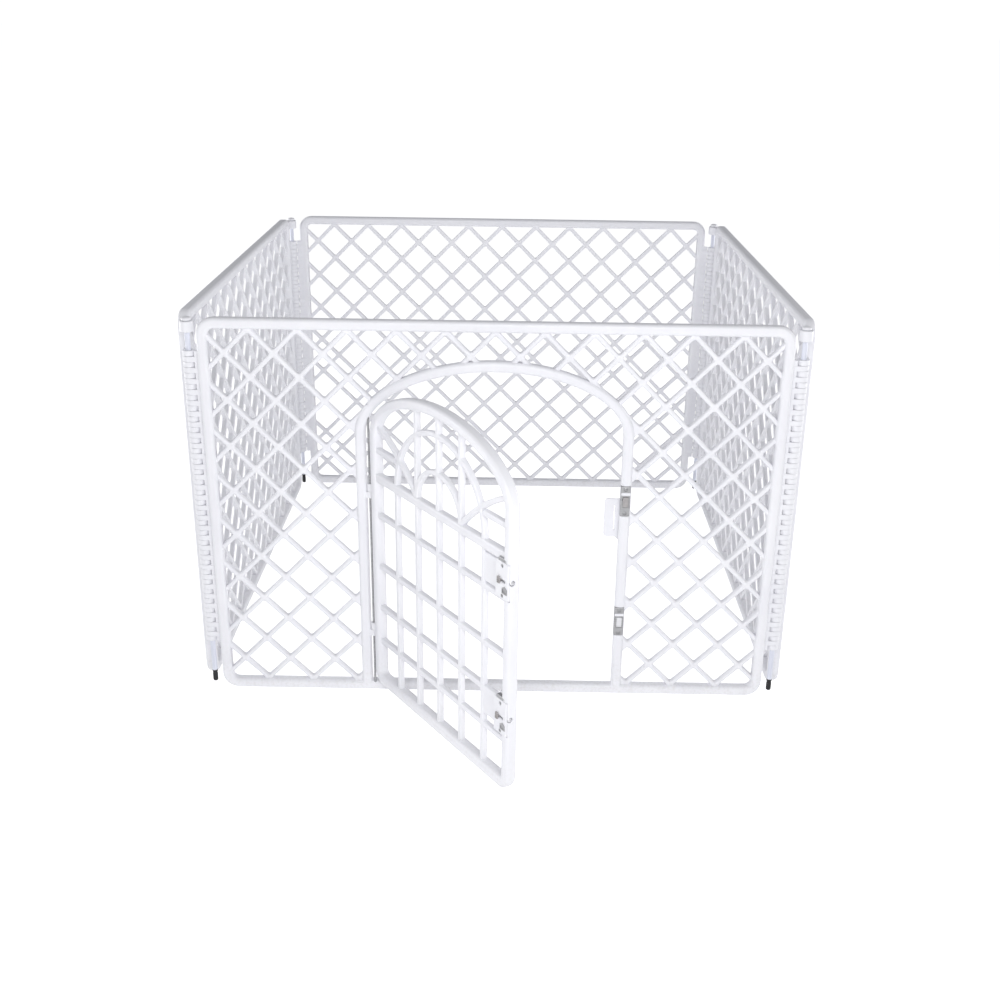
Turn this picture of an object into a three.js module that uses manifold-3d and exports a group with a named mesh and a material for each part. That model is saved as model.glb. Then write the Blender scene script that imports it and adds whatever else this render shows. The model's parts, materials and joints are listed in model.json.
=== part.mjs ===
// Pet playpen: four moulded lattice panels joined by lift-out corner rods, with an arched door in the
// front panel. Millimetres, Z up, the floor at Z 0. The front panel faces -Y, and the door stands open.
import * as THREE from "three";
import { mergeVertices } from "three/addons/utils/BufferGeometryUtils.js";
import Module from "manifold-3d";

const wasm = await Module();
wasm.setup();

// ---- Driving dimensions ----

// Panels
const axisSpan = 888; // from one corner rod to the next, on every side
const panelHeight = 600;
const panelDepth = 18;
const railWidth = 16; // face width of a panel's outer frame
const cornerRadius = 25;
const innerRadius = 10;
const foldClearance = 1; // from the plane of two rods to a panel's inner face
const stileInset = 16; // from a rod's axis to a panel's outer edge

// Lattice
const cellDiagonal = 71; // from crossing to crossing along a row
const latticeBar = 7.5;
const latticeDepth = 9;
const latticeBite = 3; // how far the lattice's openings run under the frame

// Corner hinges
const rodRadius = 4;
const boreClearance = 0.4;
const knuckleRadius = 9;
const knuckleBottom = 78;
const windowHeight = 27; // between the top knuckle and the ear, where the rod shows
const earHeight = 16;
const earDrop = 8; // from the panel's top down to the ear's top
const knuckleCount = 7;
const knuckleGap = 0.8;
const spigotRadius = 2.8;
const spigotLength = 12;
const webStep = 1; // a knuckle's web stands this much inside its round eye
const footClear = 3; // a rod's foot above the floor
const footLength = 20;
const footChamfer = 1;
const capRadius = 7;
const capHeight = 5.5;

// Doorway
const doorwayWidth = 379;
const archBelowTop = 74; // from the panel's top down to the opening's highest point
const archRise = 96; // from where the arch springs to its highest point
const doorwayFrame = 16;

// Door
const doorOpen = 55; // degrees from closed, as it stands
const hingeGap = 9; // between the doorway's stile and the door's
const latchGap = 4;
const archGap = 4.5;
const sillGap = 4;
const doorFrame = 16;
const doorBottomRail = 18;
const doorCorner = 22; // round of its two bottom corners
const doorBar = 8;
const doorRail = 9;
const transomHeight = 14;
const transomDepth = 12;
const doorColumns = 6;
const railShares = [0.21, 0.38, 0.585, 0.83]; // of the way from the door's foot to the transom
const transomBelowSpring = 70;
const stubBelowSpring = 25;
const outerArcRise = 108;
const innerArcRise = 54;
const sideArcRise = 78;
const sideArcBulge = 8;

// Door hinge
const hingeRodRadius = 1.75;
const hingeBore = 0.25; // clearance round the hinge rod
const hingeSetBack = 3; // from the front face to the hinge's axis
const lugRadius = 4;
const lugHeight = 13;
const bearerHeight = 10; // frame knuckle that carries a lug
const lugLow = 108; // underside of the lower door lug
const lugBelowSpring = 90; // underside of the upper one, under where the arch springs
const hingeRodBottom = 2;
const hingeRodIntoArch = 12;

// Latches
const latchLow = 135; // centre of the lower latch
const latchBelowSpring = 94; // centre of the upper one, under where the arch springs
const latchWidth = 31;
const latchHeight = 52;
const latchProud = 1; // past the door's front face
const latchThickness = 12;
const latchFit = 0.4;
const boltRadius = 3.6;
const boltLength = 24;
const boltSetBack = 1; // behind the door's edge when drawn back
const boltThrow = 10;
const boltBore = 0.5;
const knobWidth = 6;
const knobHeight = 10;
const knobProud = 5;
const knobPlay = 0.6; // between the knob and its slot's near end
const keeperWidth = 14;
const keeperHeight = 48;
const keeperDrop = 5; // from the bolt down to the keeper's middle
const keeperThickness = 10;
const keeperProud = 0.5;
const keeperClearance = 0.9;
const keeperDepthSpare = 2; // the mouth is deeper than the bolt's reach by this
const seatWall = 3; // plastic round a latch's seat
const screwHeadRadius = 2.6;
const screwHeadHeight = 1.4;
const screwShankRadius = 1.3;
const screwLength = 7;
const screwInset = 5;
const screwSunk = 0.2;

// Stop tab behind the door's free edge
const tabReach = 22;
const tabHeight = 62;
const tabThickness = 3;
const tabBelowSpring = 133;
const tabRoot = 12;
const tabCorner = 5;
const tabRootInset = 6; // the root is shorter than the tab at each end
const tabStandOff = 0.5; // from the panel's inner face to the tab

// Between separate pieces
const gap = 0.3; // between pieces that touch on the real object
const overrun = 1; // how far a cutter runs past a face, and fused shapes run into each other

// ---- Derived places ----

const half = axisSpan / 2;
const panelWidth = axisSpan - 2 * stileInset;
const innerFace = foldClearance;
const outerFace = foldClearance + panelDepth;
const midFace = foldClearance + panelDepth / 2;
const footRadius = rodRadius; // so that a rod draws its foot up through the knuckles
const boreRadius = rodRadius + boreClearance;
const earTop = panelHeight - earDrop;
const earBottom = earTop - earHeight;
const knuckleTop = earBottom - windowHeight;
const knuckleStep = (knuckleTop - knuckleBottom) / knuckleCount;
const archSpring = panelHeight - archBelowTop - archRise;
const openingHalf = doorwayWidth / 2;
const hingeX = -openingHalf + hingeGap / 2;
const hingeDepth = outerFace - hingeSetBack; // outward from the plane of the rods
const doorLeft = hingeGap / 2; // from the hinge's axis to the door's near edge
const doorWidth = doorwayWidth - hingeGap - latchGap;
const doorBottom = railWidth + sillGap;
const freeEdge = doorLeft + doorWidth;
const transomBottom = archSpring - transomBelowSpring;
const stubHeight = archSpring - stubBelowSpring;
const lugHeights = [lugLow, archSpring - lugBelowSpring];
const latchHeights = [latchLow, archSpring - latchBelowSpring];
const tabCentre = archSpring - tabBelowSpring;
const hingeRodTop = archSpring + archRise * Math.sqrt(1 - (hingeX / openingHalf) ** 2) + hingeRodIntoArch;

// ---- Materials ----

const whitePlastic = new THREE.MeshStandardMaterial({ color: 0xf1f1f4, roughness: 0.42, metalness: 0 });
const coatedSteel = new THREE.MeshStandardMaterial({ color: 0xdfe1ee, roughness: 0.3, metalness: 0.2 });
const steel = new THREE.MeshStandardMaterial({ color: 0x8c8d92, roughness: 0.35, metalness: 0.9 });
const rubber = new THREE.MeshStandardMaterial({ color: 0x17171a, roughness: 0.85, metalness: 0 });

// ---- Solids ----

// A three.js geometry as a manifold-3d solid.
function solid(geometry) {
  const bare = geometry.clone();
  bare.deleteAttribute("normal");
  bare.deleteAttribute("uv");
  const merged = mergeVertices(bare, 1e-4);
  return new wasm.Manifold(
    new wasm.Mesh({
      numProp: 3,
      vertProperties: new Float32Array(merged.attributes.position.array),
      triVerts: new Uint32Array(merged.index.array),
    }),
  );
}

// A manifold-3d solid as a named three.js mesh.
function namedMesh(name, body, material) {
  const { vertProperties, triVerts } = body.getMesh();
  const geometry = new THREE.BufferGeometry();
  geometry.setAttribute("position", new THREE.BufferAttribute(new Float32Array(vertProperties), 3));
  geometry.setIndex(new THREE.BufferAttribute(new Uint32Array(triVerts), 1));
  geometry.computeVertexNormals();
  const mesh = new THREE.Mesh(geometry, material);
  mesh.name = name;
  return mesh;
}

// An upright slab: the outline is drawn in X and Z, and fills Y from -outer to -inner.
function slab(shape, inner, outer) {
  const geometry = new THREE.ExtrudeGeometry(shape, { depth: outer - inner, bevelEnabled: false });
  geometry.rotateX(Math.PI / 2);
  geometry.translate(0, -inner, 0);
  return solid(geometry);
}

// A plan shape, drawn in X and Y, raised from one height to another.
function raise(shape, bottom, top) {
  const geometry = new THREE.ExtrudeGeometry(shape, { depth: top - bottom, bevelEnabled: false });
  geometry.translate(0, 0, bottom);
  return solid(geometry);
}

function box(x0, x1, y0, y1, z0, z1) {
  const geometry = new THREE.BoxGeometry(x1 - x0, y1 - y0, z1 - z0);
  geometry.translate((x0 + x1) / 2, (y0 + y1) / 2, (z0 + z1) / 2);
  return solid(geometry);
}

// A turned piece on a vertical axis, from a list of [radius, height] pairs.
function turned(profile, sides = 8) {
  const points = profile.map(([r, z]) => new THREE.Vector2(r, z));
  const geometry = new THREE.LatheGeometry(points, sides);
  geometry.rotateX(Math.PI / 2);
  return solid(geometry);
}

function rod(x, y, radius, z0, z1, sides = 12) {
  const geometry = new THREE.CylinderGeometry(radius, radius, z1 - z0, sides);
  geometry.rotateX(Math.PI / 2);
  geometry.translate(x, y, (z0 + z1) / 2);
  return solid(geometry);
}

// The cutter for a round hole: its flats stand at the radius, so a rod of that radius turns freely.
const bore = (x, y, radius, z0, z1, sides = 8) =>
  rod(x, y, radius / Math.cos(Math.PI / sides), z0, z1, sides);

const fromPoints = (points) => new THREE.Shape(points.map(([x, y]) => new THREE.Vector2(x, y)));

// A rectangle with round corners, as points running counter-clockwise.
function roundedRectangle(x0, x1, z0, z1, radius, steps = 3) {
  const points = [];
  const corners = [
    [x1 - radius, z0 + radius, -90],
    [x1 - radius, z1 - radius, 0],
    [x0 + radius, z1 - radius, 90],
    [x0 + radius, z0 + radius, 180],
  ];
  for (const [cx, cz, start] of corners) {
    for (let i = 0; i <= steps; i++) {
      const angle = THREE.MathUtils.degToRad(start + (90 * i) / steps);
      points.push([cx + radius * Math.cos(angle), cz + radius * Math.sin(angle)]);
    }
  }
  return points;
}

// A round-topped outline: straight sides up to the spring, then half an ellipse. Its feet may be round.
function archOutline(cx, halfWidth, bottom, spring, rise, foot = 0, steps = 16) {
  const points = [];
  const footSteps = foot > 0 ? 3 : 0;
  for (const [x, start] of [[cx - halfWidth + foot, 180], [cx + halfWidth - foot, 270]]) {
    for (let i = 0; i <= footSteps; i++) {
      const angle = THREE.MathUtils.degToRad(start + (90 * i) / 3);
      points.push([x + foot * Math.cos(angle), bottom + foot + foot * Math.sin(angle)]);
    }
  }
  for (let i = 0; i <= steps; i++) {
    const angle = (Math.PI * i) / steps;
    points.push([cx + halfWidth * Math.cos(angle), spring + rise * Math.sin(angle)]);
  }
  return points;
}

// ---- Lattice ----

// Keeps the part of a convex outline on one side of a line of constant X or Z.
function clip(points, axis, limit, sign) {
  const kept = [];
  points.forEach((p, i) => {
    const q = points[(i + 1) % points.length];
    const pIn = sign * (limit - p[axis]) >= 0;
    const qIn = sign * (limit - q[axis]) >= 0;
    if (pIn) {
      kept.push(p);
    }
    if (pIn !== qIn) {
      const t = (limit - p[axis]) / (q[axis] - p[axis]);
      kept.push([p[0] + t * (q[0] - p[0]), p[1] + t * (q[1] - p[1])]);
    }
  });
  return kept;
}

function outlineArea(points) {
  const crosses = points.map((p, i) => {
    const q = points[(i + 1) % points.length];
    return p[0] * q[1] - q[0] * p[1];
  });
  return Math.abs(crosses.reduce((a, b) => a + b, 0)) / 2;
}

// The openings of a square lattice turned 45 degrees, with a crossing at the panel's centre.
function latticeOpenings() {
  const step = cellDiagonal / 2;
  const reach = step - latticeBar / Math.SQRT2;
  const limitX = panelWidth / 2 - railWidth + latticeBite;
  const limitZ = panelHeight / 2 - railWidth + latticeBite;
  const columns = Math.ceil(limitX / step);
  const rows = Math.ceil(limitZ / step);
  const openings = [];
  for (let i = -columns; i <= columns; i++) {
    for (let j = -rows; j <= rows; j++) {
      if ((i + j) % 2 === 0) {
        continue;
      }
      const [cx, cz] = [i * step, j * step];
      let cell = [[cx + reach, cz], [cx, cz + reach], [cx - reach, cz], [cx, cz - reach]];
      for (const sign of [1, -1]) {
        cell = clip(cell, 0, sign * limitX, sign);
        cell = clip(cell, 1, sign * limitZ, sign);
      }
      if (cell.length >= 3 && outlineArea(cell) >= 2 * latticeBite ** 2) {
        openings.push(cell.map(([x, z]) => [x, z + panelHeight / 2]));
      }
    }
  }
  return openings;
}

// The lattice sheet of one panel, reaching half way under the frame: a plate with every opening cut out of it.
function latticeSheet() {
  const edge = railWidth / 2;
  const w = panelWidth / 2 - edge;
  const [inner, outer] = [midFace - latticeDepth / 2, midFace + latticeDepth / 2];
  let sheet = box(-w, w, -outer, -inner, edge, panelHeight - edge);
  for (const opening of latticeOpenings()) {
    sheet = sheet.subtract(slab(fromPoints(opening), inner - overrun, outer + overrun));
  }
  return sheet;
}

function panelFrame() {
  const w = panelWidth / 2;
  const shape = fromPoints(roundedRectangle(-w, w, 0, panelHeight, cornerRadius));
  const innerTop = panelHeight - railWidth;
  const inner = roundedRectangle(-w + railWidth, w - railWidth, railWidth, innerTop, innerRadius);
  shape.holes.push(new THREE.Path(inner.map(([x, z]) => new THREE.Vector2(x, z))));
  return slab(shape, innerFace, outerFace);
}

// ---- Corner hinges ----

// Plan of a knuckle: a round eye on the rod, with a web to the panel's edge on the side of sign.
function knucklePlan(sign) {
  const reach = stileInset + 2 * overrun;
  const web = knuckleRadius - webStep;
  const points = [];
  for (let angle = 90; angle <= 315; angle += 45) {
    const a = THREE.MathUtils.degToRad(angle);
    points.push([knuckleRadius * Math.cos(a), knuckleRadius * Math.sin(a)]);
  }
  points.push([reach, -web], [reach, knuckleRadius]);
  // The web lies on the outer half, so local Y runs to -outward.
  return points.map(([x, y]) => [sign * x, -Math.max(y, x > knuckleRadius ? innerFace : y)]);
}

// One end's knuckles: every other step of the stack, starting at the step given.
function knuckles(panelEnd, first) {
  const shape = fromPoints(knucklePlan(-panelEnd));
  const eyes = [];
  for (let i = first; i < knuckleCount; i += 2) {
    const bottom = knuckleBottom + i * knuckleStep + knuckleGap / 2;
    eyes.push(raise(shape, bottom, bottom + knuckleStep - knuckleGap).translate([panelEnd * half, 0, 0]));
  }
  return eyes;
}

// The ear over the finger gap, which guides the top of a corner rod.
function ear(panelEnd) {
  const reach = stileInset + cornerRadius / 2;
  const eye = rod(panelEnd * half, 0, knuckleRadius + webStep, earBottom, earTop, 8);
  const near = panelEnd * (half - reach);
  const far = panelEnd * (half + knuckleRadius - webStep);
  const block = box(Math.min(near, far), Math.max(near, far), -outerFace, -innerFace, earBottom, earTop);
  return eye.add(block);
}

function cornerBores(body) {
  for (const end of [-1, 1]) {
    body = body.subtract(bore(end * half, 0, boreRadius, -overrun, panelHeight + overrun, 6));
  }
  return body;
}

// A panel in its own frame: rods in the plane Y 0, outward to -Y. Side panels carry the ears.
function plainPanel(isSide) {
  let body = panelFrame().add(latticeSheet());
  for (const end of [-1, 1]) {
    for (const eye of knuckles(end, isSide ? 0 : 1)) {
      body = body.add(eye);
    }
    if (isSide) {
      body = body.add(ear(end));
    }
  }
  return body;
}

// ---- Front panel ----

const keeperDepth = outerFace + keeperProud - keeperThickness;
const screwHole = 0.25; // a screw's clearance in its hole

function keeperPocket(z) {
  const x0 = openingHalf - overrun;
  const x1 = openingHalf + keeperWidth + latchFit;
  const h = keeperHeight / 2 + latchFit;
  const middle = z - keeperDrop;
  return box(x0, x1, -outerFace - overrun, -keeperDepth + latchFit, middle - h, middle + h);
}

function stopTab() {
  const x1 = openingHalf + tabRoot;
  const bottom = tabCentre - tabHeight / 2;
  const top = bottom + tabHeight;
  const face = innerFace - tabStandOff;
  const outline = roundedRectangle(openingHalf - tabReach, x1, bottom, top, tabCorner, 2);
  const plate = slab(fromPoints(outline), face - tabThickness, face);
  const x0 = openingHalf + tabStandOff;
  const [front, back] = [-innerFace - overrun, -innerFace + overrun];
  return plate.add(box(x0, x1, front, back, bottom + tabRootInset, top - tabRootInset));
}

function hingeBearer(lugBottom) {
  const top = lugBottom - knuckleGap / 2;
  const eye = rod(hingeX, -hingeDepth, lugRadius, top - bearerHeight, top, 12);
  const stile = -openingHalf - overrun;
  const web = box(stile, hingeX, -hingeDepth, -hingeDepth + lugRadius, top - bearerHeight, top);
  return eye.add(web);
}

function frontPanel() {
  const outerRise = archRise + doorwayFrame;
  const outer = archOutline(0, openingHalf + doorwayFrame, railWidth / 2, archSpring, outerRise);
  const opening = archOutline(0, openingHalf, railWidth, archSpring, archRise);
  let body = plainPanel(false).add(slab(fromPoints(outer), innerFace, outerFace));
  body = body.subtract(slab(fromPoints(opening), innerFace - overrun, outerFace + overrun));
  body = body.add(stopTab());
  for (const z of lugHeights) {
    body = body.add(hingeBearer(z));
  }
  const boreTop = hingeRodTop + overrun;
  body = body.subtract(bore(hingeX, -hingeDepth, hingeRodRadius + hingeBore, -overrun, boreTop));
  for (const z of latchHeights) {
    body = body.subtract(keeperPocket(z));
    for (const end of [-1, 1]) {
      body = body.subtract(keeperScrew(z, end, screwHole));
    }
  }
  return cornerBores(body);
}

// ---- Door, drawn closed with its hinge axis on the origin and running to +X ----

const doorY = -hingeDepth; // the door's depths count from the plane of the rods

const doorSlab = (shape, inner, outer) => slab(shape, inner, outer).translate([0, -doorY, 0]);

// A band of one width along half an ellipse that stands on the transom.
function arcBand(cx, base, reach, rise, width, steps = 8) {
  const points = [];
  for (const side of [1, -1]) {
    for (let i = 0; i <= steps; i++) {
      const angle = side > 0 ? (Math.PI * i) / steps : Math.PI - (Math.PI * i) / steps;
      const [a, b] = [reach + (side * width) / 2, rise + (side * width) / 2];
      points.push([cx + a * Math.cos(angle), base + b * Math.sin(angle)]);
    }
  }
  return fromPoints(points);
}

// A gently bowed band between two points.
function bowBand([x0, z0], [x1, z1], bulge, width, steps = 3) {
  const length = Math.hypot(x1 - x0, z1 - z0);
  const normal = [(z0 - z1) / length, (x1 - x0) / length];
  if (normal[1] < 0) {
    normal.forEach((v, i) => (normal[i] = -v));
  }
  const points = [];
  for (const side of [1, -1]) {
    for (let i = 0; i <= steps; i++) {
      const t = side > 0 ? i / steps : 1 - i / steps;
      const off = 4 * bulge * t * (1 - t) + (side * width) / 2;
      points.push([x0 + t * (x1 - x0) + off * normal[0], z0 + t * (z1 - z0) + off * normal[1]]);
    }
  }
  const shape = fromPoints(points);
  return THREE.ShapeUtils.isClockWise(shape.getPoints()) ? fromPoints(points.reverse()) : shape;
}

function doorGrille() {
  const left = doorLeft + doorFrame;
  const right = freeEdge - doorFrame;
  const centre = (left + right) / 2;
  const pitch = (right - left + doorBar) / doorColumns;
  const [inner, outer] = [midFace - latticeDepth / 2, midFace + latticeDepth / 2];
  const transomTop = transomBottom + transomHeight;
  const archTop = archSpring + archRise;
  const bite = doorFrame / 2;
  const bars = [];
  const plate = (x0, x1, z0, z1, deep = [inner, outer]) => {
    bars.push(doorSlab(fromPoints([[x0, z0], [x1, z0], [x1, z1], [x0, z1]]), ...deep));
  };
  for (let i = 1; i < doorColumns; i++) {
    const x = centre + (i - doorColumns / 2) * pitch;
    const isOuter = i === 1 || i === doorColumns - 1;
    const top = isOuter ? transomBottom + 2 * overrun : archTop;
    plate(x - doorBar / 2, x + doorBar / 2, doorBottom + bite, top);
  }
  for (const share of railShares) {
    const z = doorBottom + share * (transomBottom - doorBottom);
    plate(left - bite, right + bite, z, z + doorRail);
  }
  const transomFaces = [midFace - transomDepth / 2, midFace + transomDepth / 2];
  plate(left - bite, right + bite, transomBottom, transomTop, transomFaces);
  const base = transomTop - 2 * overrun;
  const arcs = [
    arcBand(centre, base, 2 * pitch, outerArcRise, doorBar),
    arcBand(centre, base, pitch, innerArcRise, doorBar),
  ];
  for (const side of [-1, 1]) {
    const foot = [centre + side * pitch, base];
    const head = [centre + (side * (right - left + bite)) / 2, base + sideArcRise];
    arcs.push(bowBand(foot, head, sideArcBulge, doorBar));
    const x0 = centre + side * 2 * pitch;
    const x1 = side < 0 ? left - bite : right + bite;
    plate(Math.min(x0, x1), Math.max(x0, x1), stubHeight, stubHeight + doorRail);
  }
  for (const arc of arcs) bars.push(doorSlab(arc, inner, outer));
  return bars.reduce((a, b) => a.add(b));
}

const doorOutline = (inset, lift) =>
  archOutline(
    (doorLeft + freeEdge) / 2,
    doorWidth / 2 - inset,
    doorBottom + lift,
    archSpring,
    archRise - archGap - inset,
    Math.max(0, doorCorner - inset),
  );

function doorLug(bottom) {
  const top = bottom + lugHeight - knuckleGap / 2;
  const eye = rod(0, 0, lugRadius, bottom, top, 12);
  const web = box(0, doorLeft + overrun, 0, lugRadius, bottom, top);
  return eye.add(web);
}

// The seat cut in the door's free stile and last column for one latch.
function latchSeat(z, grow) {
  const back = outerFace + latchProud - latchThickness - grow;
  const h = latchHeight / 2 + grow;
  const x0 = freeEdge - latchWidth - grow;
  const front = -outerFace - latchProud - grow;
  return box(x0, freeEdge + grow, front, -back, z - h, z + h).translate([0, -doorY, 0]);
}

function door() {
  const shape = fromPoints(doorOutline(0, 0));
  const hole = doorOutline(doorFrame, doorBottomRail);
  shape.holes.push(new THREE.Path(hole.map(([x, z]) => new THREE.Vector2(x, z))));
  const keepIn = doorSlab(fromPoints(doorOutline(doorFrame / 2, doorFrame / 2)), innerFace, outerFace);
  let body = doorSlab(shape, innerFace, outerFace).add(doorGrille().intersect(keepIn));
  for (const z of latchHeights) {
    const x0 = freeEdge - latchWidth - seatWall;
    const h = latchHeight / 2 + seatWall;
    const back = outerFace + latchProud - latchThickness;
    body = body.add(box(x0, freeEdge, -back, -innerFace, z - h, z + h).translate([0, -doorY, 0]));
    body = body.subtract(latchSeat(z, latchFit));
    for (const end of [-1, 1]) {
      body = body.subtract(latchScrew(z, end, screwHole));
    }
  }
  for (const z of lugHeights) {
    body = body.add(doorLug(z));
  }
  return body.subtract(bore(0, 0, hingeRodRadius + hingeBore, 0, panelHeight));
}

// ---- Latch pieces, in the door's frame ----

const boltDepth = outerFace + latchProud - latchThickness / 2;
const boltY = -boltDepth - doorY;
const slotReach = boltThrow + knobWidth;
const boltEnd = freeEdge - boltSetBack;
const slotStart = boltEnd - boltLength;

// A cylinder along X.
function bar(radius, x0, x1, y, z, sides = 12) {
  const geometry = new THREE.CylinderGeometry(radius, radius, x1 - x0, sides);
  geometry.rotateZ(Math.PI / 2);
  geometry.translate((x0 + x1) / 2, y, z);
  return solid(geometry);
}

function latchCase(z) {
  const front = -outerFace - latchProud - doorY;
  let body = latchSeat(z, 0);
  const [x0, x1] = [slotStart - overrun, freeEdge + overrun];
  body = body.subtract(bar(boltRadius + boltBore, x0, x1, boltY, z, 10));
  const slot = knobHeight / 2 + boltBore;
  const slotEnd = slotStart + slotReach + 2 * boltBore;
  body = body.subtract(box(slotStart, slotEnd, front - overrun, boltY, z - slot, z + slot));
  for (const end of [-1, 1]) {
    body = body.subtract(latchScrew(z, end, screwHole));
  }
  return body;
}

// Drawn back inside the case: it slides towards the keeper by boltThrow.
const latchBolt = (z) => bar(boltRadius, slotStart, boltEnd, boltY, z);

function latchKnob(z) {
  const front = -outerFace - latchProud - doorY;
  const x0 = slotStart + knobPlay;
  const back = boltY - boltRadius - gap;
  return box(x0, x0 + knobWidth, front - knobProud, back, z - knobHeight / 2, z + knobHeight / 2);
}

// A countersunk screw along Y; grow makes the matching hole.
function screw(x, front, z, grow) {
  const length = screwLength + grow;
  const thin = screwShankRadius + grow;
  const wide = screwHeadRadius + grow;
  const shank = new THREE.CylinderGeometry(thin, thin, length, 6);
  shank.translate(x, front + length / 2, z);
  const head = new THREE.CylinderGeometry(thin, wide, screwHeadHeight, 8);
  head.translate(x, front + screwHeadHeight / 2, z);
  const body = solid(shank).add(solid(head));
  if (grow === 0) {
    return body;
  }
  const mouth = new THREE.CylinderGeometry(wide, wide, 2 * overrun, 8);
  mouth.translate(x, front - overrun, z);
  return body.add(solid(mouth));
}

const latchScrew = (z, end, grow = 0) =>
  screw(
    freeEdge - latchWidth / 2,
    -outerFace - latchProud - doorY + screwSunk,
    z + end * (latchHeight / 2 - screwInset),
    grow,
  );

const keeperScrew = (z, end, grow = 0) =>
  screw(
    openingHalf + keeperWidth / 2,
    -outerFace - keeperProud + screwSunk,
    z - keeperDrop + end * (keeperHeight / 2 - screwInset),
    grow,
  );

// The keeper's mouth takes the bolt when the door is shut.
function keeper(z) {
  const front = -outerFace - keeperProud;
  const bottom = z - keeperDrop - keeperHeight / 2;
  const back = front + keeperThickness - latchFit;
  const x2 = openingHalf + keeperWidth;
  const block = box(openingHalf, x2, front, back, bottom, bottom + keeperHeight);
  const mouth = boltRadius + keeperClearance;
  const [x0, x1] = [openingHalf - overrun, openingHalf + boltThrow - latchGap + keeperDepthSpare];
  const [y0, y1] = [-boltDepth - mouth, -boltDepth + mouth];
  let body = block.subtract(box(x0, x1, y0, y1, z - mouth, z + mouth));
  for (const end of [-1, 1]) {
    body = body.subtract(keeperScrew(z, end, screwHole));
  }
  return body;
}

// ---- Corner rods, on their own axis ----

const rodBottom = footClear + footLength;
const rodTop = earTop + gap;
const socketRadius = spigotRadius + gap; // in the foot and in the cap
const capSeat = rodTop + capHeight / 2;

const cornerRod = () =>
  turned([
    [0, rodBottom - spigotLength],
    [spigotRadius, rodBottom - spigotLength],
    [spigotRadius, rodBottom],
    [rodRadius, rodBottom],
    [rodRadius, rodTop],
    [spigotRadius, rodTop],
    [spigotRadius, capSeat],
    [0, capSeat],
  ]);

const rodFoot = () =>
  turned([
    [0, footClear],
    [footRadius - footChamfer, footClear],
    [footRadius, footClear + footChamfer],
    [footRadius, rodBottom - gap],
    [socketRadius, rodBottom - gap],
    [socketRadius, rodBottom - spigotLength - gap],
    [0, rodBottom - spigotLength - gap],
  ]);

const rodCap = () =>
  turned([
    [0, capSeat + gap],
    [socketRadius, capSeat + gap],
    [socketRadius, rodTop + gap],
    [capRadius, rodTop + gap],
    [capRadius, capSeat],
    [capRadius * 0.7, rodTop + capHeight * 0.85],
    [0, rodTop + capHeight],
  ]);

// ---- Assembly ----

const playpen = new THREE.Group();

function placePanel(body, name, x, y, turn) {
  const mesh = namedMesh(name, body, whitePlastic);
  mesh.position.set(x, y, 0);
  mesh.rotation.z = THREE.MathUtils.degToRad(turn);
  playpen.add(mesh);
}

placePanel(frontPanel(), "front_panel", 0, -half, 0);
placePanel(cornerBores(plainPanel(true)), "right_panel", half, 0, 90);
placePanel(cornerBores(plainPanel(false)), "back_panel", 0, half, 180);
placePanel(cornerBores(plainPanel(true)), "left_panel", -half, 0, -90);

for (const [place, x, y] of [
  ["front_left", -half, -half],
  ["front_right", half, -half],
  ["back_right", half, half],
  ["back_left", -half, half],
]) {
  const pieces = [
    ["rod_" + place, cornerRod(), coatedSteel],
    ["rod_cap_" + place, rodCap(), whitePlastic],
    ["rod_foot_" + place, rodFoot(), rubber],
  ];
  for (const [name, body, material] of pieces) {
    const mesh = namedMesh(name, body, material);
    mesh.position.set(x, y, 0);
    playpen.add(mesh);
  }
}

const hingeRod = namedMesh(
  "door_hinge_rod",
  rod(0, 0, hingeRodRadius, hingeRodBottom, hingeRodTop, 12),
  steel,
);
hingeRod.position.set(hingeX, -half - hingeDepth, 0);
playpen.add(hingeRod);

// Everything that swings with the door turns about the hinge rod.
const swing = new THREE.Group();
swing.position.set(hingeX, -half - hingeDepth, 0);
swing.rotation.z = THREE.MathUtils.degToRad(-doorOpen);
playpen.add(swing);
swing.add(namedMesh("door", door(), whitePlastic));

latchHeights.forEach((z, i) => {
  const place = ["lower", "upper"][i];
  swing.add(namedMesh("latch_case_" + place, latchCase(z), whitePlastic));
  swing.add(namedMesh("latch_bolt_" + place, latchBolt(z), steel));
  swing.add(namedMesh("latch_knob_" + place, latchKnob(z), rubber));
  const plate = namedMesh("keeper_" + place, keeper(z), steel);
  plate.position.set(0, -half, 0);
  playpen.add(plate);
  for (const end of [-1, 1]) {
    const mark = place + (end < 0 ? "_1" : "_2");
    swing.add(namedMesh("latch_screw_" + mark, latchScrew(z, end), steel));
    const fixing = namedMesh("keeper_screw_" + mark, keeperScrew(z, end), steel);
    fixing.position.set(0, -half, 0);
    playpen.add(fixing);
  }
});

// The pen stands with the middle of its footprint, open door included, over the origin.
const middle = new THREE.Box3().setFromObject(playpen, true).getCenter(new THREE.Vector3());
playpen.position.set(-middle.x, -middle.y, 0);

export default playpen;
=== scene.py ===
# %% [markdown]
# # A pet playpen of moulded lattice panels
#
# The pen is four white plastic mouldings with steel rods down their corners, and an arched door that swings
# in the front one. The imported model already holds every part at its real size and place, so each cell below
# makes the fine surface of one part around it: first the tools that turn a formula into a mesh, then the
# panels, the corners, the door and its latches, and last the finishes, the floor, the light and the camera.

# %% Load the frame
import json
import math

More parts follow.
